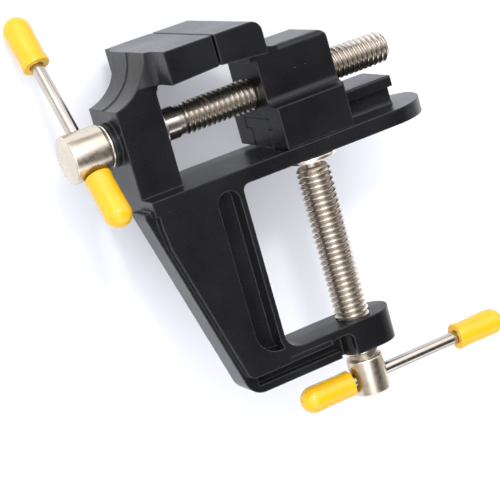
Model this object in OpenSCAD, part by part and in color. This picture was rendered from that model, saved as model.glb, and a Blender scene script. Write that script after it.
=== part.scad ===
// Miniature bench vise that clamps to a table edge.
// Origin: clamp screw axis, at the underside of the base plate that seats on the table.
// +X points from the fixed jaw to the movable jaw, +Z points up. Units are millimetres.

/* [Base plate] */
// Left end of the base plate, measured from the clamp screw axis
plate_left = 40; // [34:0.5:46]
// Thickness of the base plate
plate_t = 3.35; // [2.5:0.05:5]
// Half width of the base plate
plate_half_w = 11.3; // [9:0.1:14]
// Centre of the round right end of the plate
plate_round_x = 20; // [14:0.5:26]
// Fall of the rear half of the plate top
plate_fall = 0.75; // [0:0.05:1.5]

/* [Fixed wall and jaw] */
// Offset of the jaw centre plane behind the clamp screw axis
jaw_y = 5.8; // [0:0.1:8]
// Thickness of the fixed wall along the vise
wall_t = 9.9; // [7:0.1:13]
// Front face of the fixed wall
wall_front = -0.25; // [-4:0.05:3]
// Rear face of the fixed wall
wall_rear = 14.3; // [10:0.1:17]
// Jaw width
jaw_w = 30.8; // [20:0.1:40]
// Thickness of the fixed jaw head
fixed_head_t = 11.2; // [8:0.1:15]
// Height of both jaw tops above the table seat
jaw_top = 32.62; // [26:0.02:40]
// Height of the jaw head undersides above the table seat
head_under = 26.1; // [22:0.05:30]
// Radius of the scooped back of the fixed wall
scoop_r = 11; // [8:0.1:14]
// Gap between the jaws in the stored pose
jaw_gap = 0.65; // [0.3:0.05:20]

/* [Guide rail] */
// Right end of the rail
rail_right = 23.8; // [18:0.1:30]
// Half width of the rail flange
rail_flange_half = 6.2; // [5:0.1:8]
// Half width of the rail stem
rail_stem_half = 3.9; // [3:0.1:5]
// Height of the rail above the plate
rail_h = 6.6; // [5:0.05:9]
// Thickness of the rail flange
flange_t = 2.4; // [1.5:0.05:3.5]

/* [C frame] */
// Thickness of the C frame
c_w = 11; // [8:0.5:16]
// Inner edge of the throat
throat_x = 19.4; // [15:0.1:25]
// Depth of the throat below the plate
throat_d = 37.4; // [30:0.1:45]
// Underside of the arm below the plate
arm_under = 44.75; // [40:0.05:52]
// Width of the middle web
web_w = 3.2; // [2:0.1:6]
// Width of the outer rim
rim_w = 6.7; // [4:0.1:9]
// Radius of the boss end
boss_r = 5.5; // [4.5:0.1:7]

/* [Movable jaw] */
// Thickness of the movable jaw head
mov_head_t = 10.85; // [8:0.05:14]
// Left face of the nut block
neck_left = 6.8; // [4:0.1:10]
// Length of the nut block
neck_l = 17.7; // [12:0.1:24]
// Half width of the nut block
neck_half = 7.1; // [5:0.1:9]
// Height of the nut block top above the table seat
neck_top = 24.85; // [20:0.05:28]
// Length of the saddle
saddle_l = 16.6; // [12:0.1:24]
// Height of the saddle top above the table seat
saddle_top = 12.75; // [11:0.05:15]

/* [Main screw] */
// Sideways position of the main screw axis
main_y = 6.4; // [3:0.1:9]
// Height of the main screw axis above the table seat
main_z = 15.4; // [12:0.05:18]
// Outer diameter of the main screw
main_d = 7.2; // [5:0.1:9]
// Right end of the main screw
main_end = 27.4; // [20:0.1:35]
// Diameter of the main screw head
head_d = 10.6; // [8:0.1:13]
// Length of the main screw head
head_l = 8.45; // [6:0.05:12]
// Diameter of the retaining ring
ring_d = 11.5; // [9:0.1:14]
// Tilt of the handle bar from upright in the stored pose
bar_tilt = 35; // [0:1:90]

/* [Clamp screw] */
// Outer diameter of the clamp screw
clamp_d = 7.7; // [5:0.1:9]
// Top of the clamp screw thread below the plate
clamp_thread_top = 2.8; // [2.4:0.1:6]
// Diameter of the clamp screw head
clamp_head_d = 8.2; // [7:0.1:12]
// Top of the clamp screw head below the plate
clamp_head_top = 47.25; // [46:0.05:52]
// Length of the clamp screw head
clamp_head_l = 8.3; // [6:0.1:12]
// Diameter of the pressure pad
pad_d = 11.8; // [9:0.1:16]
// Thickness of the pressure pad
pad_t = 1.1; // [0.9:0.1:4]

/* [Handles] */
// Diameter of the handle bars
bar_d = 2.9; // [2:0.1:4]
// Distance between the tips of the two end caps
handle_l = 53.4; // [40:0.1:65]
// Diameter of the end caps
cap_d = 6.2; // [5:0.1:8]
// Length of the end caps
cap_l = 12.6; // [8:0.1:18]
// Depth of the bar inside each end cap
cap_depth = 10.4; // [6:0.1:12]
// Gap between the lower cap and the main screw head
main_cap_gap = 0.15; // [0.1:0.05:2]
// Gap between the left cap and the clamp screw head
clamp_cap_gap = 0.8; // [0.1:0.05:2]

/* [Threads and fits] */
// Thread pitch of both screws
pitch = 1.25; // [0.8:0.05:2]
// Depth of the thread grooves
thread_depth = 0.66; // [0.4:0.02:1]
// Radial running clearance
fit = 0.05; // [0.02:0.01:0.1]

/* [Hidden] */
// Roundness of circles and screws
round_fn = 64;
screw_fn = 40;
// Small extra length so cuts run clear of faces
over = 2;
// Depth by which fused solids reach into each other
bite = 0.5;
half_c = c_w / 2;
plate_front = -half_c;
plate_rear = jaw_y + plate_half_w;
wall_left = -plate_left;
wall_right = wall_left + wall_t;
jaw_face = wall_right + fixed_head_t;
mov_face = jaw_face + jaw_gap;
mov_right = mov_face + mov_head_t;
half_jaw = jaw_w / 2;
// Slope of both head undersides
under_drop = 0.55;
mov_under_drop = 0.9;
// Scoop centre behind the fixed wall
scoop_x = wall_left - 2.1;
scoop_z = jaw_top + 0.73;
// Fillet under the fixed jaw head
head_fillet = 2.5;
// Fillet between the wall and the ends of the fixed jaw head, and the plane where the moulds met
flare_r = 4.5;
parting_y = 7.05;
parting_step = 0.18;
// Boss ring round the main bore
bore_ring_d = 9.8;
bore_ring_t = 1.45;
// Rail section
rail_left = -neck_left + 0.1;
flare_half = rail_stem_half + 0.5;
flare_h = 1.0;
rail_top = plate_t + rail_h;
flange_low = rail_top - flange_t;
slide_gap = 0.15;
// Leg outline
rim_top_x = -41.5;
lean = 0.2725;
panel_top_x = -39.2;
panel_knee_z = -7.4;
panel_knee_x = -38.6;
panel_under = -40.45;
panel_corner_r = 2.0;
rim_corner_r = 4.2;
flange_bottom_t = 1.75;
flange_end = -6.6;
// Length of the slanted edge direction, used for its rounded corners
lean_n = sqrt(1 + lean * lean);
// Throat fillets
throat_top_r = 1.5;
throat_low_r = 3.2;
rim_side_t = 1.25;
rim_arm_t = 1.85;
rim_low_r = 4.8;
arm_crown = 0.2;
arm_step = 0.35;
// Deep pocket of the leg
pocket_left = -25.9;
pocket_top = -0.1;
pocket_low = -36.7;
pocket_top_r = 2.55;
pocket_low_r = 5.0;
pocket_reach = -16.5;
// Arched pocket beside the boss
arch_left = -9.1;
arch_right = -3.7;
arch_top = -39.45;
arch_r = 1.6;
groove_left = -27.3;
boss_core_r = 5.45;
boss_round_x = 2.7;
// Screws
main_r = main_d / 2;
clamp_r = clamp_d / 2;
head_r = head_d / 2;
head_left = wall_left - 10.95;
head_right = head_left + head_l;
shoulder_r = 3.9;
washer_d = 9.5;
washer_t = 0.6;
washer_left = wall_left - bore_ring_t - washer_t - 0.1;
thread_start = wall_right + 6.0;
relief_l = 1.2;
relief_drop = 0.45;
spigot_r = 2.6;
spigot_l = 2.4;
ring_t = 0.8;
end_chamfer = 0.6;
edge = 0.3;
clamp_neck_r = 2.0;
rivet_r = 3.0;
rivet_t = 0.35;
pad_gap = 0.1;
pad_well = 0.65;
clamp_undercut_r = 3.1;
clamp_undercut_l = 0.9;
clamp_bar_z = -(clamp_head_top + clamp_head_l / 2 + 0.6);
clamp_head_r = clamp_head_d / 2;
main_bar_x = head_left + 4.4;
bar_r = bar_d / 2;
cap_r = cap_d / 2;
bar_l = handle_l - 2 * (cap_l - cap_depth);
main_low_mouth = head_r + main_cap_gap;
clamp_low_mouth = clamp_head_r + clamp_cap_gap;
tier_r = 6.4;
neck_corner_r = 2.0;
neck_edge_r = 1.4;
head_corner_r = 2.5;
foot_r = 2.0;

// Names of the separate pieces

// Extrudes an X-Z outline across Y
module across(y0, y1) {
  translate([0, y1, 0])
    rotate([90, 0, 0])
      linear_extrude(height = y1 - y0)
        children();
}

// Extrudes a Y-Z outline along X
module along(x0, x1) {
  translate([x0, 0, 0])
    rotate([90, 0, 90])
      linear_extrude(height = x1 - x0)
        children();
}

// Rod along X from x0 to x1
module rod_x(x0, x1, r, n) {
  translate([x0, 0, 0])
    rotate([0, 90, 0])
      cylinder(h = x1 - x0, r = r, $fn = n);
}

// Leg outline between the slanted edge and the underside, with a rounded corner
module leg_outline(top_x, knee_x, knee_z, under, r, right) {
  cx = knee_x + (r * lean_n + (knee_z - (under + r)) * lean);
  tx = cx - r / lean_n;
  tz = under + r - r * lean / lean_n;
  union() {
    polygon([[top_x, 1], [top_x, knee_z / 3], [knee_x, knee_z], [tx, tz], [cx, under], [right, under],
      [right, 1]]);
    translate([cx, under + r])
      circle(r = r, $fn = round_fn);
  }
}

// Outer outline of the C frame below the plate
module outer_outline() {
  leg_outline(rim_top_x, rim_top_x + lean * 0.6, -0.6, -arm_under, rim_corner_r, arch_right + bite);
}

// Opening between the leg, the plate and the arm
module throat_outline() {
  difference() {
    translate([-throat_x, -throat_d])
      square([throat_x + boss_r + 6, throat_d]);
    difference() {
      translate([-throat_x - 1, -throat_d - 1])
        square([throat_low_r + 1, throat_low_r + 1]);
      translate([-throat_x + throat_low_r, -throat_d + throat_low_r])
        circle(r = throat_low_r, $fn = round_fn);
    }
    difference() {
      translate([-throat_x - 1, -throat_top_r])
        square([throat_top_r + 1, throat_top_r + 1]);
      translate([-throat_x + throat_top_r, -throat_top_r])
        circle(r = throat_top_r, $fn = round_fn);
    }
  }
}

// Throat opening grown by the thickness of its rim
module rim_outline() {
  side_x = -throat_x - rim_side_t;
  low_z = -throat_d - rim_arm_t;
  difference() {
    translate([side_x, low_z])
      square([throat_x + boss_r + 6, throat_d + rim_arm_t]);
    difference() {
      translate([side_x - 1, low_z - 1])
        square([rim_low_r + 1, rim_low_r + 1]);
      translate([side_x + rim_low_r, low_z + rim_low_r])
        circle(r = rim_low_r, $fn = round_fn);
    }
  }
}

// Deep pocket in each side of the leg
module pocket_outline() {
  difference() {
    union() {
      translate([pocket_left + pocket_low_r, pocket_low])
        square([pocket_reach - pocket_left - pocket_low_r, pocket_low_r]);
      translate([pocket_left, pocket_low + pocket_low_r])
        square([pocket_reach - pocket_left, pocket_top - pocket_top_r - pocket_low - pocket_low_r]);
      translate([pocket_left + pocket_low_r, pocket_low + pocket_low_r])
        circle(r = pocket_low_r, $fn = round_fn);
      translate([pocket_left + pocket_top_r, pocket_top - pocket_top_r])
        circle(r = pocket_top_r, $fn = round_fn);
      translate([-throat_x - rim_side_t - pocket_top_r, pocket_top - pocket_top_r])
        circle(r = pocket_top_r, $fn = round_fn);
      translate([pocket_left + pocket_top_r, pocket_top - pocket_top_r])
        square([-throat_x - rim_side_t - pocket_left - 2 * pocket_top_r + 0.02, pocket_top_r]);
    }
    rim_outline();
  }
}

// Groove above the bottom flange, ending in the arched pocket beside the boss
module groove_outline() {
  union() {
    translate([groove_left, -arm_under + flange_bottom_t])
      square([arch_left - groove_left + 1, arm_under + panel_under - flange_bottom_t]);
    translate([arch_left, -arm_under + flange_bottom_t])
      square([arch_right - arch_left, arm_under + arch_top - arch_r - flange_bottom_t]);
    translate([arch_left + arch_r, arch_top - arch_r - 1])
      square([arch_right - arch_left - 2 * arch_r, arch_r + 1]);
    translate([arch_left + arch_r, arch_top - arch_r])
      circle(r = arch_r, $fn = round_fn);
    translate([arch_right - arch_r, arch_top - arch_r])
      circle(r = arch_r, $fn = round_fn);
    translate([flange_end, -arm_under - over])
      square([arch_right - flange_end, flange_bottom_t + over + 1]);
  }
}

// Solid C frame below the plate
module c_frame() {
  difference() {
    union() {
      across(-web_w / 2, web_w / 2)
        outer_outline();
      across(-rim_w / 2, rim_w / 2)
        difference() {
          outer_outline();
          groove_outline();
          pocket_outline();
        }
      across(-half_c, half_c)
        difference() {
          leg_outline(panel_top_x, panel_knee_x, panel_knee_z, panel_under, panel_corner_r,
            arch_right + bite);
          groove_outline();
          pocket_outline();
        }
      translate([arch_right, -half_c, -arm_under])
        cube([boss_round_x - arch_right, c_w, arm_under - throat_d]);
      translate([boss_round_x, 0, -arm_under])
        cylinder(h = arm_under - throat_d, r = boss_r, $fn = round_fn);
      translate([0, 0, -arm_under])
        cylinder(h = arm_under - throat_d, r = boss_core_r, $fn = round_fn);
    }
    across(-half_c - over, half_c + over)
      throat_outline();
    for (side = [-1, 1])
      along(-throat_x + throat_low_r, boss_round_x + boss_r + over)
        polygon([[0, -throat_d], [side * (half_c + over), -throat_d - arm_crown * (half_c + over) / half_c],
          [side * (half_c + over), -throat_d + 1], [0, -throat_d + 1]]);
    for (y = [-half_c - over, half_c - arm_step])
      across(y, y + over + arm_step)
        difference() {
          translate([groove_left + 8, panel_under - 0.1])
            square([arch_left - groove_left - 8, -panel_under - throat_d - rim_arm_t + 0.1]);
          rim_outline();
        }
  }
}

// Base plate with a round right end and a falling rear half
module base_plate() {
  intersection() {
    union() {
      translate([wall_left, plate_front, 0])
        cube([plate_round_x - wall_left, plate_rear - plate_front, plate_t]);
      translate([plate_round_x, jaw_y, 0])
        cylinder(h = plate_t, r = plate_half_w, $fn = round_fn);
    }
    along(wall_left - over, plate_round_x + plate_half_w + over)
      polygon([[plate_front - over, -over], [plate_rear + over, -over],
        [plate_rear + over, plate_t - plate_fall * 1.2], [jaw_y + 1.8, plate_t], [plate_front - over, plate_t]]);
  }
}

// T-section guide rail
module rail() {
  along(rail_left, rail_right)
    translate([jaw_y, 0])
      polygon([[-flare_half, plate_t - bite], [flare_half, plate_t - bite], [flare_half, plate_t],
        [rail_stem_half, plate_t + flare_h], [rail_stem_half, flange_low],
        [rail_flange_half, flange_low], [rail_flange_half, rail_top - edge],
        [rail_flange_half - edge, rail_top], [-rail_flange_half + edge, rail_top],
        [-rail_flange_half, rail_top - edge], [-rail_flange_half, flange_low],
        [-rail_stem_half, flange_low], [-rail_stem_half, plate_t + flare_h],
        [-flare_half, plate_t]]);
}

// Fixed wall with its scooped back, and the fixed jaw head
module fixed_jaw() {
  difference() {
    union() {
      across(wall_front, wall_rear)
        wall_outline();
      across(jaw_y - half_jaw, jaw_y + half_jaw)
        polygon([[wall_right, head_under - under_drop], [jaw_face, head_under], [jaw_face, jaw_top],
          [wall_right, jaw_top]]);
      head_flare(wall_front, -1);
      head_flare(wall_rear, 1);
    }
    across(jaw_y - half_jaw, parting_y)
      scoop_outline(scoop_r);
    across(parting_y - over / 2, jaw_y + half_jaw)
      scoop_outline(scoop_r - parting_step);
  }
}

// Side view of the wall with the fillet under the jaw head
module wall_outline() {
  translate([wall_left, plate_t - bite])
    square([wall_t, jaw_top - plate_t + bite]);
  translate([wall_right - bite, head_under - 2])
    square([2 * bite, jaw_top - head_under + 2]);
  difference() {
    translate([wall_right - bite, head_under - under_drop - head_fillet])
      square([head_fillet + bite, head_fillet + 0.2]);
    translate([wall_right + head_fillet, head_under - under_drop - head_fillet])
      circle(r = head_fillet, $fn = round_fn);
  }
}

// Circle of the scooped back
module scoop_outline(r) {
  translate([scoop_x, scoop_z])
    circle(r = r, $fn = round_fn * 2);
}

// Upright fillet where the jaw head reaches past the wall; side is -1 at the front and 1 at the rear
module head_flare(y, side) {
  translate([wall_right, y, head_under - under_drop])
    linear_extrude(jaw_top - head_under + under_drop)
      scale([1, side])
        difference() {
          translate([-flare_r, -bite])
            square([flare_r + bite, flare_r + bite]);
          translate([-flare_r, flare_r])
            circle(r = flare_r, $fn = round_fn);
        }
}

module frame() {
  color([0.05, 0.05, 0.055])
    difference() {
      union() {
        base_plate();
        rail();
        fixed_jaw();
        c_frame();
        translate([0, main_y, main_z])
          rod_x(wall_left - bore_ring_t, wall_left + bite, bore_ring_d / 2, round_fn);
      }
      translate([0, main_y, main_z])
        rod_x(wall_left - bore_ring_t - over, wall_right + over, main_r + fit, round_fn);
      translate([0, 0, -arm_under - over])
        cylinder(h = arm_under - throat_d + 2 * over, r = clamp_r + fit, $fn = round_fn);
    }
}

module movable_jaw() {
  color([0.05, 0.05, 0.055])
    difference() {
      union() {
        across(jaw_y - half_jaw, jaw_y + half_jaw)
          union() {
            polygon([[mov_face, head_under], [mov_right, head_under - mov_under_drop],
              [mov_right, jaw_top - head_corner_r], [mov_right - head_corner_r, jaw_top],
              [mov_face, jaw_top]]);
            translate([mov_right - head_corner_r, jaw_top - head_corner_r])
              circle(r = head_corner_r, $fn = round_fn);
          }
        across(jaw_y - neck_half, jaw_y + neck_half)
          difference() {
            translate([mov_right - 1, neck_top - 2])
              square([tier_r + 1, tier_r + 2]);
            translate([mov_right + tier_r, neck_top + tier_r])
              circle(r = tier_r, $fn = round_fn);
          }
        intersection() {
          across(jaw_y - neck_half, jaw_y + neck_half)
            union() {
              translate([-neck_left, saddle_top - bite])
                square([neck_l, neck_top - neck_corner_r - saddle_top + bite]);
              translate([-neck_left, neck_top - neck_corner_r - 1])
                square([neck_l - neck_corner_r, neck_corner_r + 1]);
              translate([-neck_left + neck_l - neck_corner_r, neck_top - neck_corner_r])
                circle(r = neck_corner_r, $fn = round_fn);
            }
          along(-neck_left - over, -neck_left + neck_l + over)
            translate([jaw_y, 0])
              union() {
                translate([-neck_half, 0])
                  square([2 * neck_half, neck_top - neck_edge_r]);
                translate([-neck_half + neck_edge_r, 0])
                  square([2 * (neck_half - neck_edge_r), neck_top]);
                for (side = [-1, 1])
                  translate([side * (neck_half - neck_edge_r), neck_top - neck_edge_r])
                    circle(r = neck_edge_r, $fn = round_fn);
              }
        }
        along(-neck_left, -neck_left + neck_l)
          for (side = [-1, 1])
            difference() {
              translate([jaw_y + side * (neck_half + foot_r / 2) - foot_r / 2 - 0.01, saddle_top - bite])
                square([foot_r + 0.02, foot_r + bite]);
              translate([jaw_y + side * (neck_half + foot_r), saddle_top + foot_r])
                circle(r = foot_r, $fn = round_fn);
            }
        translate([-neck_left, jaw_y - plate_half_w + 0.1, plate_t + slide_gap])
          cube([saddle_l, 2 * plate_half_w - 0.2, saddle_top - plate_t - slide_gap]);
      }
      along(-neck_left - over, -neck_left + neck_l + over)
        translate([jaw_y, 0])
          union() {
            translate([-rail_flange_half - slide_gap, flange_low - slide_gap])
              square([2 * (rail_flange_half + slide_gap), flange_t + 2 * slide_gap]);
            translate([-rail_stem_half - slide_gap, plate_t - over])
              square([2 * (rail_stem_half + slide_gap), rail_h - flange_t + over + 1]);
            translate([-flare_half - slide_gap, plate_t - over])
              square([2 * (flare_half + slide_gap), flare_h + over + slide_gap]);
          }
      translate([0, main_y, main_z])
        rod_x(-neck_left - over, -neck_left + neck_l + over, main_r + fit, round_fn);
    }
}

// Half section of a thread: radius r from z0 to z1 with V grooves
function groove_points(z, z1, r) = z + pitch > z1 ? [] :
  concat([[r, z + pitch * 0.1], [r - thread_depth, z + pitch * 0.5], [r, z + pitch * 0.9]],
    groove_points(z + pitch, z1, r));

// Threaded rod with chamfered ends, along Z from z0 to z1
module thread_z(z0, z1, r) {
  rotate_extrude($fn = screw_fn)
    polygon(concat([[0, z0], [r - end_chamfer, z0]], [[r, z0 + end_chamfer]],
      groove_points(z0 + end_chamfer, z1 - end_chamfer, r),
      [[r, z1 - end_chamfer], [r - end_chamfer, z1], [0, z1]]));
}

module main_screw() {
  color([0.72, 0.68, 0.62])
    translate([0, main_y, main_z])
      union() {
        rod_x(washer_left - spigot_l - 0.3, washer_left, spigot_r, round_fn);
        rod_x(washer_left, thread_start - relief_l, main_r, round_fn);
        rod_x(thread_start - relief_l - bite, thread_start + bite, main_r - relief_drop, round_fn);
        translate([thread_start, 0, 0])
          rotate([0, 90, 0])
            thread_z(0, main_end - thread_start, main_r);
      }
}

module main_hub() {
  color([0.78, 0.76, 0.72])
    translate([0, main_y, main_z])
      difference() {
        union() {
          rod_x(head_left + edge, head_right - edge, head_r, round_fn);
          translate([head_left, 0, 0])
            rotate([0, 90, 0])
              cylinder(h = edge, r1 = head_r - edge, r2 = head_r, $fn = round_fn);
          translate([head_right - edge, 0, 0])
            rotate([0, 90, 0])
              cylinder(h = edge, r1 = head_r, r2 = head_r - edge, $fn = round_fn);
          rod_x(head_right - edge, washer_left, shoulder_r, round_fn);
        }
        rod_x(washer_left - spigot_l - 0.35, washer_left + over, spigot_r, round_fn);
        translate([main_bar_x, 0, 0])
          rotate([-bar_tilt, 0, 0])
            cylinder(h = 2 * head_d, r = bar_r + fit, center = true, $fn = round_fn);
      }
}

module thrust_washer() {
  color([0.7, 0.68, 0.64])
    translate([0, main_y, main_z])
      difference() {
        rod_x(washer_left, washer_left + washer_t, washer_d / 2, round_fn);
        rod_x(washer_left - over, washer_left + over, main_r, round_fn);
      }
}

module retaining_ring() {
  color([0.75, 0.73, 0.7])
    translate([0, main_y, main_z])
      difference() {
        rod_x(wall_right + fit, wall_right + fit + ring_t, ring_d / 2, round_fn);
        rod_x(wall_right - over, wall_right + over, main_r, round_fn);
      }
}

// Handle bar centred on its own length, lying along Z from low to low + bar_l
module bar(low) {
  translate([0, 0, low])
    union() {
      translate([0, 0, edge])
        cylinder(h = bar_l - 2 * edge, r = bar_r, $fn = round_fn);
      cylinder(h = edge, r1 = bar_r - edge, r2 = bar_r, $fn = round_fn);
      translate([0, 0, bar_l - edge])
        cylinder(h = edge, r1 = bar_r, r2 = bar_r - edge, $fn = round_fn);
    }
}

// Dipped plastic end cap, mouth at z = 0, dome pointing up
module cap() {
  difference() {
    union() {
      translate([0, 0, edge])
        cylinder(h = cap_l - cap_r - edge, r = cap_r, $fn = round_fn);
      cylinder(h = edge, r1 = cap_r - edge, r2 = cap_r, $fn = round_fn);
      translate([0, 0, cap_l - cap_r])
        sphere(r = cap_r, $fn = round_fn);
    }
    translate([0, 0, -over])
      cylinder(h = cap_depth + over, r = bar_r, $fn = round_fn);
  }
}

// Places children on the tilted bar axis of the main screw head
module on_main_bar() {
  translate([main_bar_x, main_y, main_z])
    rotate([-bar_tilt, 0, 0])
      children();
}

module main_bar() {
  color([0.72, 0.7, 0.66])
    on_main_bar()
      bar(-main_low_mouth - cap_depth);
}

module main_cap_upper() {
  color([1.0, 0.8, 0.12])
    on_main_bar()
      translate([0, 0, bar_l - main_low_mouth - 2 * cap_depth])
        cap();
}

module main_cap_lower() {
  color([1.0, 0.8, 0.12])
    on_main_bar()
      translate([0, 0, -main_low_mouth])
        rotate([180, 0, 0])
          cap();
}

module clamp_screw() {
  color([0.72, 0.68, 0.62])
    union() {
      translate([0, 0, -pad_gap - rivet_t - 0.2])
        cylinder(h = rivet_t, r = rivet_r, $fn = round_fn);
      translate([0, 0, -clamp_thread_top - bite])
        cylinder(h = clamp_thread_top + bite - pad_gap - 0.3, r = clamp_neck_r, $fn = round_fn);
      translate([0, 0, -clamp_head_top + clamp_undercut_l])
        thread_z(0, clamp_head_top - clamp_undercut_l - clamp_thread_top, clamp_r);
      translate([0, 0, -clamp_head_top])
        cylinder(h = clamp_undercut_l + bite, r = clamp_undercut_r, $fn = round_fn);
      translate([0, 0, -clamp_head_top - 2])
        cylinder(h = 2 + bite, r = 2, $fn = round_fn);
    }
}

module clamp_hub() {
  color([0.78, 0.76, 0.72])
    difference() {
      union() {
        translate([0, 0, -clamp_head_top - clamp_head_l + edge])
          cylinder(h = clamp_head_l - 2 * edge, r = clamp_head_r, $fn = round_fn);
        translate([0, 0, -clamp_head_top - edge])
          cylinder(h = edge, r1 = clamp_head_r, r2 = clamp_head_r - edge, $fn = round_fn);
        translate([0, 0, -clamp_head_top - clamp_head_l])
          cylinder(h = edge, r1 = clamp_head_r - edge, r2 = clamp_head_r, $fn = round_fn);
      }
      translate([0, 0, -clamp_head_top - 2.05])
        cylinder(h = 2.05 + over, r = 2, $fn = round_fn);
      translate([0, 0, clamp_bar_z])
        rotate([0, 90, 0])
          cylinder(h = 2 * clamp_head_d, r = bar_r + fit, center = true, $fn = round_fn);
    }
}

module pressure_pad() {
  color([0.75, 0.73, 0.7])
    translate([0, 0, -pad_gap - pad_t])
      difference() {
        union() {
          translate([0, 0, edge])
            cylinder(h = pad_t - edge, r = pad_d / 2, $fn = round_fn);
          cylinder(h = edge, r1 = pad_d / 2 - edge, r2 = pad_d / 2, $fn = round_fn);
        }
        translate([0, 0, -over])
          cylinder(h = pad_t + 2 * over, r = clamp_neck_r + fit, $fn = round_fn);
        translate([0, 0, pad_t - pad_well])
          cylinder(h = pad_well + over, r = rivet_r + 0.4, $fn = round_fn);
      }
}

// Places children on the clamp handle axis, lying along +X
module on_clamp_bar() {
  translate([0, 0, clamp_bar_z])
    rotate([0, 90, 0])
      children();
}

module clamp_bar() {
  color([0.72, 0.7, 0.66])
    on_clamp_bar()
      bar(-clamp_low_mouth - cap_depth);
}

module clamp_cap_right() {
  color([1.0, 0.8, 0.12])
    on_clamp_bar()
      translate([0, 0, bar_l - clamp_low_mouth - 2 * cap_depth])
        cap();
}

module clamp_cap_left() {
  color([1.0, 0.8, 0.12])
    on_clamp_bar()
      translate([0, 0, -clamp_low_mouth])
        rotate([180, 0, 0])
          cap();
}

frame();
movable_jaw();
main_screw();
main_hub();
thrust_washer();
retaining_ring();
main_bar();
main_cap_upper();
main_cap_lower();
clamp_screw();
clamp_hub();
pressure_pad();
clamp_bar();
clamp_cap_right();
clamp_cap_left();
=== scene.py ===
"""Looks of a small clamp-on bench vise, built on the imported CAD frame. Metres, row frame."""

import math

import bmesh
import bpy
from mathutils import Matrix, Vector


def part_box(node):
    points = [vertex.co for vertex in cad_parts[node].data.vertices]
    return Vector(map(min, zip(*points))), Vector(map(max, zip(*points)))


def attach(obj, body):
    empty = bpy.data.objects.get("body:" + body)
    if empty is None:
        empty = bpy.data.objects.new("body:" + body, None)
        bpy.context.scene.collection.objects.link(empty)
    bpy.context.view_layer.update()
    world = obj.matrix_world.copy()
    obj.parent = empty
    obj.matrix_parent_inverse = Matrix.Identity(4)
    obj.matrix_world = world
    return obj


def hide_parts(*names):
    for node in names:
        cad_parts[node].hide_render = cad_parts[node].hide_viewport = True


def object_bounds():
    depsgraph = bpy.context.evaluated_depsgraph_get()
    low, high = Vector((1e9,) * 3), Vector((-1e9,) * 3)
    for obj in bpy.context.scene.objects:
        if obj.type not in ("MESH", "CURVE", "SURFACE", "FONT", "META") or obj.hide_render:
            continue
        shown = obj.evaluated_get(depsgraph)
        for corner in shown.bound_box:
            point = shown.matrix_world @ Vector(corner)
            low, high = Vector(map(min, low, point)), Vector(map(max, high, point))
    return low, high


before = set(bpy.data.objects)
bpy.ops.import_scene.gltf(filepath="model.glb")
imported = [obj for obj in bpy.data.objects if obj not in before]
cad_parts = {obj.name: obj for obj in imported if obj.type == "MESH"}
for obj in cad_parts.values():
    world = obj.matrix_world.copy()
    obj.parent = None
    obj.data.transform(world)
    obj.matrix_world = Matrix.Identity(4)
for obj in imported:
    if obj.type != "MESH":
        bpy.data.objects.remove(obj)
CAD_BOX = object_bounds()

MM = 0.001
TURN = 2 * math.pi
PITCH = 1.25 * MM
THREAD_DEPTH = 0.66 * MM
ROOT_MARGIN = 0.02 * MM
ROUND = 96
FILLET = 0.5 * MM


# ---------------------------------------------------------------- node helpers

def new_material(name):
    """An empty node material and its tools: its nodes, its shader and its object coordinates."""
    material = bpy.data.materials.new(name)
    material.use_nodes = True
    tree = material.node_tree
    shader = tree.nodes["Principled BSDF"]
    place = tree.nodes.new("ShaderNodeTexCoord").outputs["Object"]
    return material, tree, shader, place


def link(tree, source, target):
    tree.links.new(source, target)


def noise(tree, place, scale, detail=3.0, roughness=0.5, stretch=None):
    """A noise texture's value, with features about 1/scale metres wide."""
    if stretch:
        mapping = tree.nodes.new("ShaderNodeMapping")
        mapping.inputs["Scale"].default_value = stretch
        link(tree, place, mapping.inputs["Vector"])
        place = mapping.outputs["Vector"]
    node = tree.nodes.new("ShaderNodeTexNoise")
    node.inputs["Scale"].default_value = scale
    node.inputs["Detail"].default_value = detail
    node.inputs["Roughness"].default_value = roughness
    link(tree, place, node.inputs["Vector"])
    return node.outputs["Fac"]


def remap(tree, value, low, high, to_low=0.0, to_high=1.0):
    node = tree.nodes.new("ShaderNodeMapRange")
    for socket, number in zip(("From Min", "From Max", "To Min", "To Max"), (low, high, to_low, to_high)):
        node.inputs[socket].default_value = number
    link(tree, value, node.inputs["Value"])
    return node.outputs["Result"]


def maths(tree, operation, a, b):
    """One maths node; a and b are outputs or plain numbers."""
    node = tree.nodes.new("ShaderNodeMath")
    node.operation = operation
    for socket, term in zip(node.inputs, (a, b)):
        if isinstance(term, (int, float)):
            socket.default_value = term
        else:
            link(tree, term, socket)
    return node.outputs[0]


def mix_color(tree, factor, a, b):
    """A blend of two colours, each an output or a plain RGB triple."""
    node = tree.nodes.new("ShaderNodeMix")
    node.data_type = "RGBA"
    link(tree, factor, node.inputs["Factor"])
    for socket, term in ((node.inputs[6], a), (node.inputs[7], b)):
        if isinstance(term, tuple):
            socket.default_value = (*term, 1.0)
        else:
            link(tree, term, socket)
    return node.outputs[2]


def bump(tree, height, distance, strength=1.0, under=None):
    """A bump over another normal; distance is the relief's real height in metres."""
    node = tree.nodes.new("ShaderNodeBump")
    node.inputs["Strength"].default_value = strength
    node.inputs["Distance"].default_value = distance
    link(tree, height, node.inputs["Height"])
    if under is not None:
        link(tree, under, node.inputs["Normal"])
    return node.outputs["Normal"]


def rounded_normal(tree, radius):
    """A normal that rounds off the piece's sharp edges."""
    node = tree.nodes.new("ShaderNodeBevel")
    node.samples = 6
    node.inputs["Radius"].default_value = radius
    return node.outputs["Normal"]


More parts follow.
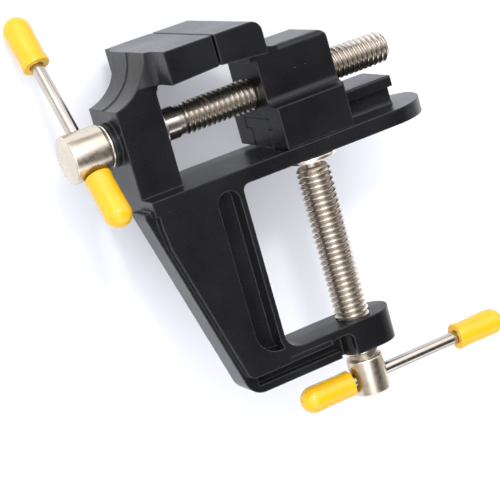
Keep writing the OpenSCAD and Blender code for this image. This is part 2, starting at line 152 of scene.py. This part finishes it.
def edge_mask(tree, rounded, sharpness):
    """1 where the rounded normal leaves the face, near sharp edges, and 0 on plain faces."""
    geometry = tree.nodes.new("ShaderNodeNewGeometry")
    dot = tree.nodes.new("ShaderNodeVectorMath")
    dot.operation = "DOT_PRODUCT"
    link(tree, rounded, dot.inputs[0])
    link(tree, geometry.outputs["Normal"], dot.inputs[1])
    return remap(tree, dot.outputs["Value"], 1.0, 1.0 - sharpness)


# ---------------------------------------------------------------- materials

def casting_material():
    """Satin black coat on a sand-cast body: orange peel, dust specks and thin worn edges."""
    material, tree, shader, place = new_material("satin_black_coat")
    rounded = rounded_normal(tree, FILLET)
    edges = edge_mask(tree, rounded, 0.22)
    cloud = noise(tree, place, 90, 4)
    peel = noise(tree, place, 1500, 2, 0.55)
    sand = noise(tree, place, 420, 3, 0.6)
    grain = noise(tree, place, 5200, 1)
    dusty = remap(tree, noise(tree, place, 130, 1), 0.58, 0.62)
    specks = maths(tree, "MULTIPLY", dusty, remap(tree, noise(tree, place, 1150, 1, 0.3), 0.76, 0.80))
    breakup = remap(tree, noise(tree, place, 650, 3), 0.30, 0.62, 0.25, 1.0)
    worn = maths(tree, "MULTIPLY", edges, breakup)

    coat_dark = (0.0055, 0.0055, 0.0062)
    coat_light = (0.0085, 0.0085, 0.0095)
    worn_coat = (0.060, 0.058, 0.056)
    dust = (0.21, 0.20, 0.18)
    base = mix_color(tree, remap(tree, cloud, 0.35, 0.68), coat_dark, coat_light)
    base = mix_color(tree, maths(tree, "MULTIPLY", worn, 0.75), base, worn_coat)
    base = mix_color(tree, maths(tree, "MULTIPLY", specks, 0.5), base, dust)
    link(tree, base, shader.inputs["Base Color"])

    broad = remap(tree, cloud, 0.3, 0.7, 0.25, 0.32)
    rough = maths(tree, "ADD", broad, remap(tree, grain, 0.3, 0.7, -0.03, 0.04))
    rough = maths(tree, "SUBTRACT", rough, maths(tree, "MULTIPLY", worn, 0.05))
    link(tree, rough, shader.inputs["Roughness"])
    shader.inputs["Specular IOR Level"].default_value = 0.36

    normal = bump(tree, sand, 0.020 * MM, 0.8, rounded)
    normal = bump(tree, peel, 0.008 * MM, 0.8, normal)
    normal = bump(tree, specks, 0.03 * MM, 0.6, normal)
    link(tree, normal, shader.inputs["Normal"])
    return material


def metal_material(name, color, dull, roughness, fillet, marks):
    """A bright metal with soft tarnish, fine scratches and turning marks; marks stretches the scratches."""
    material, tree, shader, place = new_material(name)
    rounded = rounded_normal(tree, fillet)
    cloud = noise(tree, place, 160, 4)
    streaks = noise(tree, place, 900, 3, 0.6, marks)
    spots = remap(tree, noise(tree, place, 900, 3, 0.7), 0.64, 0.78)
    stain = tuple(0.45 * c for c in dull)
    color = mix_color(tree, remap(tree, cloud, 0.3, 0.7), color, dull)
    color = mix_color(tree, maths(tree, "MULTIPLY", spots, 0.2), color, stain)
    link(tree, color, shader.inputs["Base Color"])
    shader.inputs["Metallic"].default_value = 1.0
    rough = maths(tree, "ADD", remap(tree, cloud, 0.3, 0.7, roughness * 0.85, roughness * 1.2),
                  remap(tree, streaks, 0.3, 0.7, -0.05, 0.06))
    link(tree, rough, shader.inputs["Roughness"])
    normal = bump(tree, streaks, 0.0035 * MM, 0.7, rounded)
    normal = bump(tree, spots, 0.006 * MM, 0.4, normal)
    link(tree, normal, shader.inputs["Normal"])
    return material


def screw_material(name, axis_point, along, outer):
    """Plated steel, painted darker towards the thread's root: painted shade in the grooves, together with
    old oil there.
    """
    material, tree, shader, place = new_material(name)
    shift = tree.nodes.new("ShaderNodeVectorMath")
    shift.operation = "SUBTRACT"
    link(tree, place, shift.inputs[0])
    shift.inputs[1].default_value = axis_point
    flat = tree.nodes.new("ShaderNodeVectorMath")
    flat.operation = "MULTIPLY"
    link(tree, shift.outputs[0], flat.inputs[0])
    flat.inputs[1].default_value = tuple(1.0 - abs(a) for a in along)
    reach = tree.nodes.new("ShaderNodeVectorMath")
    reach.operation = "LENGTH"
    link(tree, flat.outputs[0], reach.inputs[0])
    clean_from = outer - 0.1 * MM
    depth = remap(tree, reach.outputs["Value"], outer - THREAD_DEPTH, clean_from)

    cloud = noise(tree, place, 220, 4)
    stretch = tuple(0.15 if a else 1.0 for a in along)
    streaks = noise(tree, place, 2500, 2, 0.5, stretch)
    oil_and_root_shade = (0.36, 0.31, 0.265)
    clean = (0.80, 0.74, 0.66)
    tarnished = (0.60, 0.54, 0.47)
    # painted shade: the colour darkens from crest to root, standing in for the shade between the thread's
    # flanks, with old oil there
    color = mix_color(tree, depth, oil_and_root_shade, clean)
    color = mix_color(tree, remap(tree, cloud, 0.4, 0.75, 0.0, 0.55), color, tarnished)
    link(tree, color, shader.inputs["Base Color"])
    shader.inputs["Metallic"].default_value = 1.0
    rough = maths(tree, "ADD", remap(tree, depth, 0.0, 1.0, 0.36, 0.2),
                  remap(tree, streaks, 0.3, 0.7, -0.05, 0.06))
    link(tree, rough, shader.inputs["Roughness"])
    link(tree, bump(tree, streaks, 0.004 * MM, 0.7), shader.inputs["Normal"])
    return material


def vinyl_material():
    """Glossy dipped vinyl, slightly wavy, with faint handling marks."""
    material, tree, shader, place = new_material("yellow_vinyl_dip")
    cloud = noise(tree, place, 260, 3)
    wave = noise(tree, place, 330, 2, 0.4)
    fine = noise(tree, place, 3000, 2)
    marks = remap(tree, noise(tree, place, 1300, 3, 0.7), 0.66, 0.76)
    lemon = (0.73, 0.43, 0.010)
    amber = (0.73, 0.395, 0.009)
    handled = (0.62, 0.36, 0.01)
    color = mix_color(tree, remap(tree, cloud, 0.3, 0.7), lemon, amber)
    color = mix_color(tree, maths(tree, "MULTIPLY", marks, 0.3), color, handled)
    link(tree, color, shader.inputs["Base Color"])
    broad = remap(tree, cloud, 0.3, 0.7, 0.17, 0.26)
    rough = maths(tree, "ADD", broad, remap(tree, fine, 0.3, 0.7, -0.03, 0.03))
    link(tree, rough, shader.inputs["Roughness"])
    shader.inputs["Subsurface Weight"].default_value = 0.12
    shader.inputs["Subsurface Radius"].default_value = (1.0, 0.6, 0.15)
    shader.inputs["Subsurface Scale"].default_value = 0.6 * MM
    normal = bump(tree, wave, 0.05 * MM, 0.7)
    normal = bump(tree, fine, 0.004 * MM, 0.5, normal)
    link(tree, normal, shader.inputs["Normal"])
    return material


# ---------------------------------------------------------------- mesh helpers

def mesh_object(name, vertices, faces, material):
    mesh = bpy.data.meshes.new(name)
    mesh.from_pydata([tuple(v) for v in vertices], [], faces)
    work = bmesh.new()
    work.from_mesh(mesh)
    bmesh.ops.remove_doubles(work, verts=work.verts, dist=1e-7)
    bmesh.ops.recalc_face_normals(work, faces=work.faces)
    work.to_mesh(mesh)
    work.free()
    mesh.materials.append(material)
    thing = bpy.data.objects.new(name, mesh)
    bpy.context.scene.collection.objects.link(thing)
    for polygon in mesh.polygons:
        polygon.use_smooth = True
    return thing


def smooth_by_angle(thing, degrees):
    """Faces that meet at more than this angle keep a crisp edge."""
    mesh = thing.data
    work = bmesh.new()
    work.from_mesh(mesh)
    for edge in work.edges:
        edge.smooth = len(edge.link_faces) == 2 and edge.calc_face_angle(0.0) < math.radians(degrees)
    work.to_mesh(mesh)
    work.free()


def frame_along(origin, direction):
    """The matrix that takes local +Z to a direction from an origin."""
    turn = Vector(direction).to_track_quat("Z", "Y").to_matrix().to_4x4()
    return Matrix.Translation(Vector(origin)) @ turn


def lathe(name, outline, place, material, wobble=None, closed=False):
    """A turned solid: outline is (radius, height) points from the lower axis point to the upper one,
    or with closed, a loop that makes a ring."""
    vertices, faces = [], []
    for radius, height in outline:
        for i in range(ROUND):
            a = TURN * i / ROUND
            r, h = wobble(radius, height, a) if wobble else (radius, height)
            vertices.append(place @ Vector((r * math.cos(a), r * math.sin(a), h)))
    for row in range(len(outline) - (0 if closed else 1)):
        above = (row + 1) % len(outline)
        for i in range(ROUND):
            j = (i + 1) % ROUND
            faces.append((row * ROUND + i, row * ROUND + j, above * ROUND + j, above * ROUND + i))
    return mesh_object(name, vertices, faces, material)


def arc(center_r, center_h, radius, start, end, steps=8):
    """Points of an arc in the (radius, height) plane, angles in degrees."""
    return [(center_r + radius * math.cos(math.radians(start + (end - start) * i / steps)),
             center_h + radius * math.sin(math.radians(start + (end - start) * i / steps)))
            for i in range(steps + 1)]


def thread_radius(share, outer):
    """A thread's radius at a share of its pitch: flat crests, straight flanks and a narrow flat root."""
    root_half = 0.06
    crest_from = 0.43
    rise = min(1.0, max(0.0, (abs(share - 0.5) - root_half) / (crest_from - root_half)))
    return outer - THREAD_DEPTH * (1.0 - rise)


def threaded_rod(name, place, below, above, start, end, outer, start_cut, end_cut, material):
    """A screw with a right-hand helical thread from start to end, in local heights.

    below and above are the (radius, height) outlines before and after the thread;
    start_cut and end_cut are the lengths of the chamfers at the thread's two ends."""
    rows_per_turn = 16
    around = 64
    core = outer - THREAD_DEPTH
    turns = (end - start) / PITCH
    rows = int(turns * rows_per_turn) + 2 * rows_per_turn
    vertices, faces = [], []

    def limit(height):
        """The blank's radius at a height: chamfered at both ends."""
        root = core - ROOT_MARGIN
        low = root + (outer - root) * (height - start) / start_cut
        high = root + (outer - root) * (end - height) / end_cut
        return max(root, min(outer, low, high))

    for row in range(rows + 1):
        share = (row % rows_per_turn) / rows_per_turn
        crest = thread_radius(share, outer)
        for i in range(around):
            a = TURN * i / around
            height = start + PITCH * ((row - rows_per_turn) / rows_per_turn + i / around)
            height = min(end, max(start, height))
            radius = min(crest, limit(height))
            vertices.append(place @ Vector((radius * math.cos(a), radius * math.sin(a), height)))
    for row in range(rows):
        for i in range(around):
            if i + 1 < around:
                near = row * around + i
                far = near + around
                corner = (near, near + 1, far + 1, far)
            elif row + 1 + rows_per_turn <= rows:
                ahead = (row + rows_per_turn) * around
                corner = (row * around + i, ahead, ahead + around, (row + 1) * around + i)
            else:
                continue
            faces.append(corner)
    thread = mesh_object(name, vertices, faces, material)
    ends = []
    for part, outline in (("low", below), ("high", above)):
        if outline:
            ends.append(lathe(f"{name}_{part}", outline, place, material))
    return join(thread, ends)


def join(thing, others):
    """Adds the other objects' meshes to the first one's."""
    work = bmesh.new()
    work.from_mesh(thing.data)
    for other in others:
        work.from_mesh(other.data)
        bpy.data.objects.remove(other)
    bmesh.ops.recalc_face_normals(work, faces=work.faces)
    work.to_mesh(thing.data)
    work.free()
    for polygon in thing.data.polygons:
        polygon.use_smooth = True
    return thing


def settled(thing):
    """Turns an object's modifiers into its mesh."""
    ready = bpy.data.meshes.new_from_object(thing.evaluated_get(bpy.context.evaluated_depsgraph_get()))
    thing.modifiers.clear()
    thing.data = ready
    return thing


def bored(thing, center, direction, radius):
    """Cuts a round hole right through a piece."""
    half_drill = 12 * MM
    drill = lathe("drill", [(0, -half_drill), (radius, -half_drill), (radius, half_drill), (0, half_drill)],
                  frame_along(center, direction), thing.data.materials[0])
    cut = thing.modifiers.new("bore", "BOOLEAN")
    cut.object = drill
    cut.solver = "EXACT"
    settled(thing)
    bpy.data.objects.remove(drill)
    for polygon in thing.data.polygons:
        polygon.use_smooth = True
    return thing


def smooth_casting(name, node, material):
    """A casting's CAD shape with its fillets shaded smooth and its plain faces flat."""
    weld = 2e-6
    crisp_above = 33
    work = bmesh.new()
    work.from_mesh(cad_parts[node].data)
    bmesh.ops.remove_doubles(work, verts=work.verts, dist=weld)
    mesh = bpy.data.meshes.new(name)
    work.to_mesh(mesh)
    work.free()
    mesh.materials.append(material)
    for polygon in mesh.polygons:
        polygon.use_smooth = True
    thing = bpy.data.objects.new(name, mesh)
    bpy.context.scene.collection.objects.link(thing)
    smooth_by_angle(thing, crisp_above)
    shading = thing.modifiers.new("shading", "WEIGHTED_NORMAL")
    shading.weight = 100
    shading.keep_sharp = True
    return thing


def dress(thing, body, node):
    """Makes a piece ride its body in place of a CAD node."""
    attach(thing, body)
    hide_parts(node)
    return thing


# ---------------------------------------------------------------- materials in use

BLACK = casting_material()
NICKEL = metal_material("bright_nickel", (0.66, 0.585, 0.48), (0.56, 0.495, 0.405),
                        0.25, 0.25 * MM, (1, 1, 1))
RING_STEEL = metal_material("ring_steel", (0.80, 0.73, 0.63), (0.68, 0.61, 0.52),
                            0.24, 0.12 * MM, (0.1, 1, 1))
ROD_STEEL = metal_material("rod_steel", (0.56, 0.51, 0.45), (0.44, 0.395, 0.34),
                           0.2, 0.15 * MM, (1, 0.6, 0.6))
VINYL = vinyl_material()

# ---------------------------------------------------------------- castings

dress(smooth_casting("cast_frame", "frame", BLACK), "frame", "frame")
dress(smooth_casting("cast_movable_jaw", "movable_jaw", BLACK), "jaw", "movable_jaw")

# ---------------------------------------------------------------- screws

clamp_low, clamp_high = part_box("clamp_screw")
main_low, main_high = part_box("main_screw")
main_axis = (main_low + main_high) / 2
main_radius = (main_high.z - main_low.z) / 2
clamp_radius = (clamp_high.x - clamp_low.x) / 2
hub_low, hub_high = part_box("main_hub")
clamp_hub_low, clamp_hub_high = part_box("clamp_hub")
wall_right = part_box("retaining_ring")[0].x

# Clamp screw: local height is the row's z, 0 at the plate's underside; the rivet head sits in the pad's well
NECK_R = 2.0 * MM
RIVET_R = 3.0 * MM
RIVET_T = 0.35 * MM
UNDERCUT_R = 3.1 * MM
UNDERCUT_L = 0.9 * MM
TIP_ROUND = 0.25 * MM
START_CUT = 0.5 * MM
CLAMP_END_CUT = 0.75 * MM
rivet_top = clamp_high.z
thread_top = -2.8 * MM
thread_low = clamp_hub_high.z + UNDERCUT_L
clamp_steel = screw_material("clamp_screw_steel", (0.0, 0.0, 0.0), (0, 0, 1), clamp_radius)
clamp_core = clamp_radius - THREAD_DEPTH
spigot_low = clamp_low.z
clamp_below = [(0, spigot_low), (NECK_R, spigot_low), (NECK_R, clamp_hub_high.z),
               (UNDERCUT_R, clamp_hub_high.z), (UNDERCUT_R, thread_low),
               (clamp_core - ROOT_MARGIN, thread_low)]
clamp_above = ([(clamp_core - ROOT_MARGIN, thread_top), (NECK_R + TIP_ROUND, thread_top)]
               + arc(NECK_R + TIP_ROUND, thread_top + TIP_ROUND, TIP_ROUND, 270, 180, 4)
               + [(NECK_R, rivet_top - RIVET_T), (RIVET_R, rivet_top - RIVET_T)]
               + arc(RIVET_R - TIP_ROUND, rivet_top - TIP_ROUND, TIP_ROUND, 0, 90, 4)
               + [(0, rivet_top)])
clamp_rod = threaded_rod("clamp_screw_helix", Matrix.Identity(4), clamp_below, clamp_above,
                         thread_low, thread_top, clamp_radius, START_CUT, CLAMP_END_CUT, clamp_steel)
smooth_by_angle(clamp_rod, 40)
dress(clamp_rod, "clamp_spindle", "clamp_screw")

# Main screw: local height runs along the row's +x from the screw's left end
SHANK_RELIEF = 0.45 * MM
RELIEF_L = 1.2 * MM
SPIGOT_R = 2.6 * MM
RELIEF_STEP = 0.15 * MM
MAIN_END_CUT = 0.8 * MM
END_FACE_DROP = 0.3 * MM
THREAD_FROM_RING = 5.95 * MM
main_start = wall_right + THREAD_FROM_RING - main_low.x
main_length = main_high.x - main_low.x
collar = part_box("thrust_washer")[0].x - main_low.x
main_core = main_radius - THREAD_DEPTH
main_steel = screw_material("main_screw_steel", tuple(main_axis), (1, 0, 0), main_radius)
main_below = [(0, 0), (SPIGOT_R, 0), (SPIGOT_R, collar), (main_radius, collar),
              (main_radius, main_start - RELIEF_L - RELIEF_STEP),
              (main_radius - SHANK_RELIEF, main_start - RELIEF_L),
              (main_radius - SHANK_RELIEF, main_start), (main_core - ROOT_MARGIN, main_start)]
main_above = [(main_core - ROOT_MARGIN, main_length), (main_core - END_FACE_DROP, main_length),
              (0, main_length)]
along_x = frame_along((main_low.x, main_axis.y, main_axis.z), (1, 0, 0))
main_rod = threaded_rod("main_screw_helix", along_x, main_below, main_above, main_start, main_length,
                        main_radius, START_CUT, MAIN_END_CUT, main_steel)
smooth_by_angle(main_rod, 40)
dress(main_rod, "screw", "main_screw")

# ---------------------------------------------------------------- heads, rings, pad and bars

BAR_R = 1.45 * MM
BAR_L = 49.0 * MM
BAR_TILT = math.radians(35)
HEAD_L = 8.45 * MM
SHOULDER_R = 3.9 * MM
EDGE = 0.4 * MM
THIN_EDGE = 0.2 * MM
BORE_PLAY = 0.1 * MM

bar_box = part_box("main_bar")
hub_mid = Vector(((bar_box[0].x + bar_box[1].x) / 2, main_axis.y, main_axis.z))
up = Vector((0, math.sin(BAR_TILT), math.cos(BAR_TILT)))
hub_radius = (hub_high.z - hub_low.z) / 2
hub_length = hub_high.x - hub_low.x
main_hub = lathe("main_hub_turned",
                 [(0, 0)] + arc(hub_radius - EDGE, EDGE, EDGE, 270, 360, 5)
                 + arc(hub_radius - EDGE, HEAD_L - EDGE, EDGE, 0, 90, 5)
                 + [(SHOULDER_R, HEAD_L), (SHOULDER_R, hub_length), (0, hub_length)],
                 frame_along((hub_low.x, main_axis.y, main_axis.z), (1, 0, 0)), NICKEL)
bored(main_hub, hub_mid, up, BAR_R + BORE_PLAY)
smooth_by_angle(main_hub, 32)
dress(main_hub, "screw", "main_hub")

clamp_head_r = (clamp_hub_high.x - clamp_hub_low.x) / 2
clamp_head_l = clamp_hub_high.z - clamp_hub_low.z
clamp_bar_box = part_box("clamp_bar")
clamp_bar_z = (clamp_bar_box[0].z + clamp_bar_box[1].z) / 2
clamp_hub = lathe("clamp_hub_turned",
                  [(0, 0)] + arc(clamp_head_r - EDGE, EDGE, EDGE, 270, 360, 5)
                  + arc(clamp_head_r - EDGE, clamp_head_l - EDGE, EDGE, 0, 90, 5) + [(0, clamp_head_l)],
                  frame_along((0, 0, clamp_hub_low.z), (0, 0, 1)), NICKEL)
bored(clamp_hub, (0, 0, clamp_bar_z), (1, 0, 0), BAR_R + BORE_PLAY)
smooth_by_angle(clamp_hub, 32)
dress(clamp_hub, "clamp_spindle", "clamp_hub")


def ring(name, node, inner):
    """A flat ring with eased edges where a CAD ring node is, seated along x."""
    low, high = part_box(node)
    outer = (high.z - low.z) / 2
    thick = high.x - low.x
    outline = ([(inner, 0)] + arc(outer - THIN_EDGE, THIN_EDGE, THIN_EDGE, 270, 360, 4)
               + arc(outer - THIN_EDGE, thick - THIN_EDGE, THIN_EDGE, 0, 90, 4) + [(inner, thick)])
    place = frame_along((low.x, main_axis.y, main_axis.z), (1, 0, 0))
    thing = lathe(name, outline, place, RING_STEEL, closed=True)
    smooth_by_angle(thing, 50)
    dress(thing, "screw", node)


ring("thrust_washer_turned", "thrust_washer", main_radius)
ring("retaining_ring_turned", "retaining_ring", main_radius)

PAD_WELL = 0.65 * MM
PAD_FIT = 0.05 * MM
WELL_PLAY = 0.4 * MM
PAD_HOLE_R = NECK_R + PAD_FIT
PAD_WELL_R = RIVET_R + WELL_PLAY
pad_low, pad_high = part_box("pressure_pad")
pad_r = (pad_high.x - pad_low.x) / 2
pad_t = pad_high.z - pad_low.z
pad = lathe("pressure_pad_turned",
            [(PAD_HOLE_R, 0)] + arc(pad_r - EDGE, EDGE, EDGE, 270, 360, 5)
            + arc(pad_r - THIN_EDGE, pad_t - THIN_EDGE, THIN_EDGE, 0, 90, 4)
            + [(PAD_WELL_R, pad_t), (PAD_WELL_R, pad_t - PAD_WELL), (PAD_HOLE_R, pad_t - PAD_WELL)],
            frame_along((0, 0, pad_low.z), (0, 0, 1)), RING_STEEL, closed=True)
smooth_by_angle(pad, 40)
dress(pad, "pad", "pressure_pad")


def bar(name, node, body, middle, direction):
    """A drawn steel rod with eased ends."""
    half = BAR_L / 2
    outline = ([(0, -half)] + arc(BAR_R - THIN_EDGE, THIN_EDGE - half, THIN_EDGE, 270, 360, 4)
               + arc(BAR_R - THIN_EDGE, half - THIN_EDGE, THIN_EDGE, 0, 90, 4) + [(0, half)])
    thing = lathe(name, outline, frame_along(middle, direction), ROD_STEEL)
    smooth_by_angle(thing, 40)
    dress(thing, body, node)


bar("main_bar_drawn", "main_bar", "handle", (bar_box[0] + bar_box[1]) / 2, up)
bar("clamp_bar_drawn", "clamp_bar", "clamp_handle", (clamp_bar_box[0] + clamp_bar_box[1]) / 2, (1, 0, 0))

# ---------------------------------------------------------------- end caps

CAP_R = 3.1 * MM
CAP_L = 12.6 * MM
CAP_GAP = 0.15 * MM
HANDLE_L = 53.4 * MM
MOUTH_REACH = 2.5 * MM
MOUTH_WAVE = 0.07 * MM
SKIN_WAVE = 0.035 * MM


def cap(name, mouth, direction, body, node, seed):
    """A dipped vinyl cap: domed end, soft swell, and a slightly rolled, uneven mouth."""
    lip = 0.32 * MM
    outline = ([(BAR_R, CAP_L * 0.35), (BAR_R, lip)]
               + arc(BAR_R + lip, lip, lip, 180, 270, 4)
               + [(CAP_R - lip, 0.0)]
               + arc(CAP_R - lip, lip, lip, 270, 360, 6)
               + [(CAP_R - 0.02 * MM, 1.1 * MM), (CAP_R - 0.14 * MM, 2.0 * MM),
                  (CAP_R - 0.10 * MM, 4.5 * MM), (CAP_R - 0.06 * MM, 7.2 * MM),
                  (CAP_R - 0.02 * MM, 8.8 * MM)]
               + arc(0, CAP_L - CAP_R, CAP_R - 0.01 * MM, 3, 90, 20))

    def wobble(radius, height, angle):
        near_mouth = max(0.0, 1.0 - height / MOUTH_REACH)
        wave = math.sin(2 * angle + seed) + 0.6 * math.sin(3 * angle + 2.1 * seed)
        wave = wave + 0.35 * math.sin(7 * angle - seed)
        skin = max(0.0, min(1.0, (radius - BAR_R) / (CAP_R - BAR_R)))
        inward = SKIN_WAVE * skin * (1 + 0.5 * wave)
        return radius - inward, height + MOUTH_WAVE * near_mouth * (1 + 0.5 * wave)

    thing = lathe(name, outline, frame_along(mouth, direction), VINYL, wobble)
    dress(thing, body, node)


low_mouth = hub_mid - up * (hub_radius + CAP_GAP)
high_mouth = low_mouth + up * (HANDLE_L - 2 * CAP_L)
cap("cap_main_upper", high_mouth, up, "handle", "main_cap_upper", 0.4)
cap("cap_main_lower", low_mouth, -up, "handle", "main_cap_lower", 1.7)

left_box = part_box("clamp_cap_left")
right_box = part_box("clamp_cap_right")
cap("cap_clamp_left", (left_box[1].x, 0, clamp_bar_z), (-1, 0, 0), "clamp_handle", "clamp_cap_left", 2.9)
cap("cap_clamp_right", (right_box[0].x, 0, clamp_bar_z), (1, 0, 0), "clamp_handle", "clamp_cap_right", 4.3)

# ---------------------------------------------------------------- stage: floor, lights, camera


def floor_material():
    """Matt white board, seen from its front only, so that it never hides the object's rear."""
    material, tree, shader, place = new_material("white_board")
    cloud = noise(tree, place, 4, 2)
    grain = noise(tree, place, 900, 2)
    base = mix_color(tree, cloud, (0.80, 0.81, 0.84), (0.84, 0.85, 0.875))
    link(tree, base, shader.inputs["Base Color"])
    link(tree, remap(tree, grain, 0.3, 0.7, 0.8, 0.9), shader.inputs["Roughness"])
    shader.inputs["Specular IOR Level"].default_value = 0.1
    output = tree.nodes["Material Output"]
    mix = tree.nodes.new("ShaderNodeMixShader")
    clear = tree.nodes.new("ShaderNodeBsdfTransparent")
    geometry = tree.nodes.new("ShaderNodeNewGeometry")
    link(tree, geometry.outputs["Backfacing"], mix.inputs[0])
    link(tree, shader.outputs[0], mix.inputs[1])
    link(tree, clear.outputs[0], mix.inputs[2])
    link(tree, mix.outputs[0], output.inputs["Surface"])
    return material


FLOOR_REACH = 1.6
FLOOR_GAP = 0.3 * MM
floor_y = CAD_BOX[1][1] + FLOOR_GAP
corners = [(-FLOOR_REACH, floor_y, -FLOOR_REACH), (FLOOR_REACH, floor_y, -FLOOR_REACH),
           (FLOOR_REACH, floor_y, FLOOR_REACH), (-FLOOR_REACH, floor_y, FLOOR_REACH)]
floor_mesh = bpy.data.meshes.new("floor")
floor_mesh.from_pydata(corners, [], [(0, 1, 2, 3)])
floor_mesh.materials.append(floor_material())
floor = bpy.data.objects.new("floor", floor_mesh)
bpy.context.scene.collection.objects.link(floor)


def softbox(name, position, target, width, height, power, color):
    """A rectangular area light that faces a target."""
    light = bpy.data.lights.new(name, "AREA")
    light.shape = "RECTANGLE"
    light.size = width
    light.size_y = height
    light.energy = power
    light.color = color
    thing = bpy.data.objects.new(name, light)
    thing.location = position
    thing.rotation_euler = (Vector(target) - Vector(position)).to_track_quat("-Z", "Y").to_euler()
    bpy.context.scene.collection.objects.link(thing)


KEY_PLACE = (-0.12, -0.62, 0.42)
KEY_SIZE = 0.10
KEY_WATTS = 1.6
KEY_COLOR = (1.0, 0.97, 0.92)
CENTER = (0.0, 0.0, 0.0)
softbox("key", KEY_PLACE, CENTER, KEY_SIZE, KEY_SIZE, KEY_WATTS, KEY_COLOR)


ROOM = (0.50, 0.45, 0.41)
CEILING = (1.95, 1.99, 2.12)
TABLE = (1.9, 1.95, 2.1)
WINDOW = (2.75, 2.83, 3.0)
DARK = (0.07, 0.065, 0.06)
ACROSS = (0.917, -0.399, 0.0)
DARK_WAY = (0.55, -0.80, -0.20)


def studio_world():
    """A tall white window strip, a pale ceiling that is dim overhead, a pale table low in front,
    a dim brown room, and one dark patch in front."""
    world = bpy.data.worlds.new("studio")
    bpy.context.scene.world = world
    world.use_nodes = True
    tree = world.node_tree
    look = tree.nodes.new("ShaderNodeTexCoord").outputs["Generated"]

    def facing(direction):
        """The cosine of the angle between the look and a direction."""
        dot = tree.nodes.new("ShaderNodeVectorMath")
        dot.operation = "DOT_PRODUCT"
        link(tree, look, dot.inputs[0])
        dot.inputs[1].default_value = Vector(direction).normalized()
        return dot.outputs["Value"]

    side = maths(tree, "ABSOLUTE", facing(ACROSS), 0.0)
    strip = remap(tree, side, 0.38, 0.12)
    front = remap(tree, facing((0.0, -1.0, 0.0)), 0.05, 0.40)
    above = facing((0.0, 0.0, 1.0))
    window = maths(tree, "MULTIPLY", maths(tree, "MULTIPLY", strip, front), remap(tree, above, -0.70, -0.30))
    overhead = remap(tree, above, 0.92, 0.80)
    ceiling = maths(tree, "MULTIPLY", front, overhead)
    ceiling = maths(tree, "MULTIPLY", ceiling, remap(tree, above, -0.35, 0.10))
    patch = remap(tree, facing(DARK_WAY), 0.82, 0.955)
    table = maths(tree, "MULTIPLY", front, remap(tree, above, -0.45, -0.70))
    color = mix_color(tree, ceiling, ROOM, CEILING)
    color = mix_color(tree, table, color, TABLE)
    color = mix_color(tree, window, color, WINDOW)
    color = mix_color(tree, patch, color, DARK)
    link(tree, color, tree.nodes["Background"].inputs["Color"])


studio_world()

CAMERA_PLACE = Vector((-0.18857, -0.38937, 0.09194))
CAMERA_RIGHT = Vector((0.8556, -0.4447, -0.2651))
CAMERA_UP = Vector((0.3445, 0.1068, 0.9327))
LENS_MM = 147.7
camera_data = bpy.data.cameras.new("camera")
camera_data.sensor_width = 36
camera_data.lens = LENS_MM
camera_data.clip_start = 0.01
camera = bpy.data.objects.new("camera", camera_data)
camera_right = CAMERA_RIGHT.normalized()
camera_back = camera_right.cross(CAMERA_UP).normalized()
camera_up = camera_back.cross(camera_right)
camera.matrix_world = Matrix((
    (camera_right.x, camera_up.x, camera_back.x, CAMERA_PLACE.x),
    (camera_right.y, camera_up.y, camera_back.y, CAMERA_PLACE.y),
    (camera_right.z, camera_up.z, camera_back.z, CAMERA_PLACE.z),
    (0, 0, 0, 1)))
bpy.context.scene.collection.objects.link(camera)
bpy.context.scene.camera = camera
bpy.context.scene.view_settings.view_transform = "Standard"
